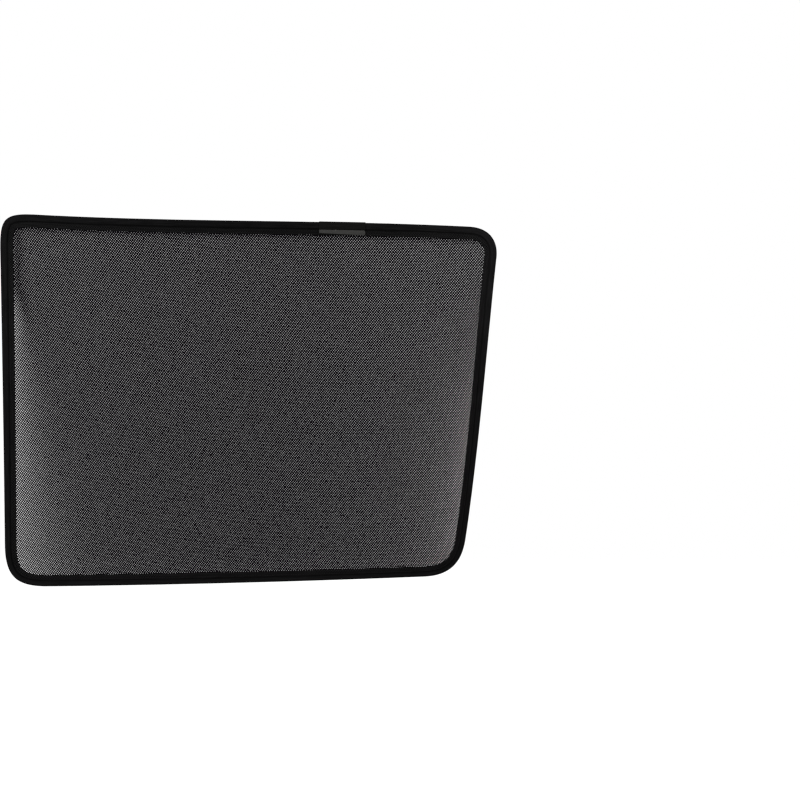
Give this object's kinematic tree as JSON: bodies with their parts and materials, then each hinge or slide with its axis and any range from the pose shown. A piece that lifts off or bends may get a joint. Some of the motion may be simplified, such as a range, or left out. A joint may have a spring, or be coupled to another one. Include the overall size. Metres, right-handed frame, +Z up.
{
  "type": "car side window sunshade",
  "caption": "Flat sunshade for a car's side window: a dark net in a taped rim over a spring wire, with hidden magnets and a ribbon pull tab on the top edge.",
  "frame": {"origin": "middle of the width at the rim's lowest point and half its depth", "axes": "+X to the right seen from the cabin, +Y out through the window, +Z up"},
  "size_m": [0.6446, 0.0064, 0.483],
  "materials": {
    "rim_tape": "matt black woven tape",
    "net": "fine knitted net, dark grey",
    "ribbon": "ribbed black ribbon",
    "strip": "smooth grey ribbon edge",
    "spring_steel": "drawn spring wire",
    "ferrule": "plain brass tube",
    "magnet": "nickel plated"
  },
  "bodies": {
    "root": {"edge_binding": "rim_tape", "mesh_screen": "net", "frame_wire": "spring_steel", "wire_ferrule": "ferrule", "pull_tab": "ribbon", "tab_strip": "strip", "magnet_top_1": "magnet", "magnet_top_2": "magnet", "magnet_top_3": "magnet", "magnet_right_1": "magnet", "magnet_right_2": "magnet", "magnet_left_1": "magnet", "magnet_left_2": "magnet"}
  },
  "joints": []
}
